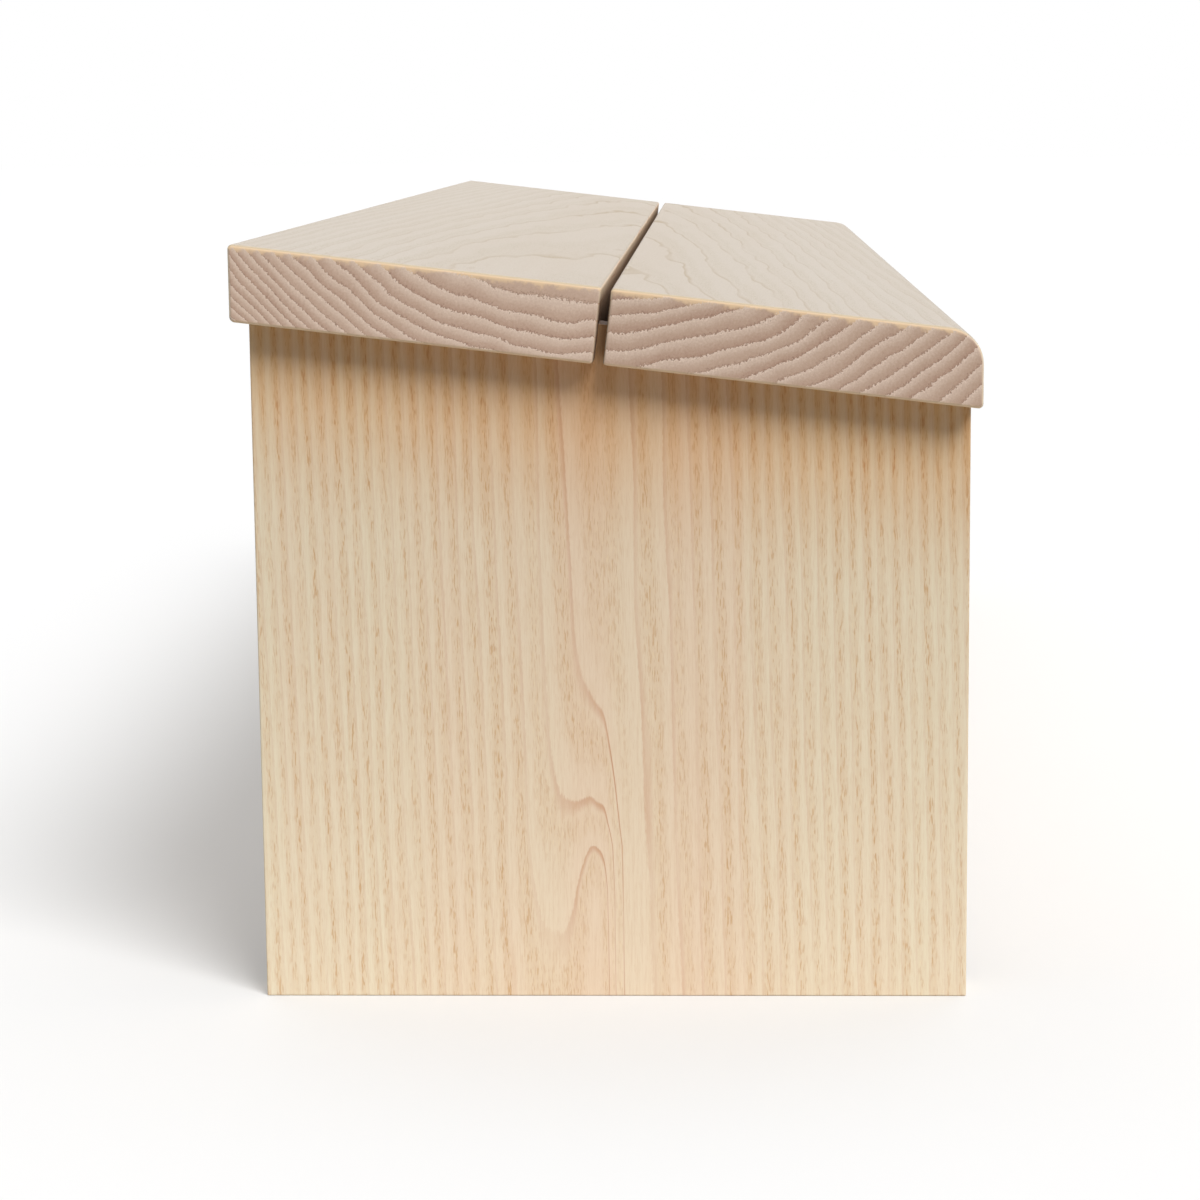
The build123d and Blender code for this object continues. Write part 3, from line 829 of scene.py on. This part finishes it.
# a white sheet under the bench on a darker floor, both seen as white where no shadow falls
sheet = {
    "tone": 0.7,
    "farTone": 0.16,
    "edge": 0.08,
    "farEdge": 0.5,
    "lit": 1.274,
    "white": 1.005,
    "roughness": 0.9,
    "half": 30.0,
}
reach = sheet["half"]
floorCorners = [(-reach, -reach, 0.0), (reach, -reach, 0.0), (reach, reach, 0.0), (-reach, reach, 0.0)]
floorMesh = bpy.data.meshes.new("floor")
floorMesh.from_pydata(floorCorners, [], [(0, 1, 2, 3)])
floor = bpy.data.objects.new("floor", floorMesh)
scene.collection.objects.link(floor)
floorFinish = newFinish("pale floor")
floorX, floorY = floorFinish.split(floorFinish.add("ShaderNodeTexCoord", {}, {}, "Object"))[:2]
clearX = (floorX.math("ABSOLUTE") - cadHigh.x).math("MAXIMUM", 0.0)
clearY = (floorY.math("ABSOLUTE") - cadHigh.y).math("MAXIMUM", 0.0)
away = floorFinish.smooth((clearX * clearX + clearY * clearY) ** 0.5, sheet["edge"], sheet["farEdge"])
floorTone = between(away, sheet["tone"], sheet["farTone"])
floorFinish.surface(Base_Color=floorTone, Roughness=sheet["roughness"])
floorFinish.surface(Specular_IOR_Level=0.0, Emission_Strength=1.0)
floorFinish.surface(Emission_Color=seenDirectly(floorFinish) * (sheet["white"] - floorTone * sheet["lit"]))
floorMesh.materials.append(floorFinish.owner)
print("light and floor set")

shot = {
    "spot": (-2.43466, -0.06066, 0.48211),
    "yaw": math.radians(2.27),
    "pitch": math.radians(8.92),
    "roll": math.radians(-0.59),
    "focalPixels": 3086.0,
    "imagePixels": 1200.0,
}
cameraData = bpy.data.cameras.new("camera")
cameraData.lens = shot["focalPixels"] / shot["imagePixels"] * cameraData.sensor_width
camera = bpy.data.objects.new("camera", cameraData)
scene.collection.objects.link(camera)
level = math.cos(shot["pitch"])
forward = Vector((level * math.cos(shot["yaw"]), level * math.sin(shot["yaw"]), -math.sin(shot["pitch"])))
flatRight = forward.cross(Vector((0.0, 0.0, 1.0))).normalized()
flatUp = flatRight.cross(forward)
right = flatRight * math.cos(shot["roll"]) + flatUp * math.sin(shot["roll"])
up = flatUp * math.cos(shot["roll"]) - flatRight * math.sin(shot["roll"])
turn = Matrix((right, up, -forward)).transposed()
camera.matrix_world = Matrix.Translation(shot["spot"]) @ turn.to_4x4()
scene.camera = camera
scene.view_settings.view_transform = "Standard"
print("camera set")
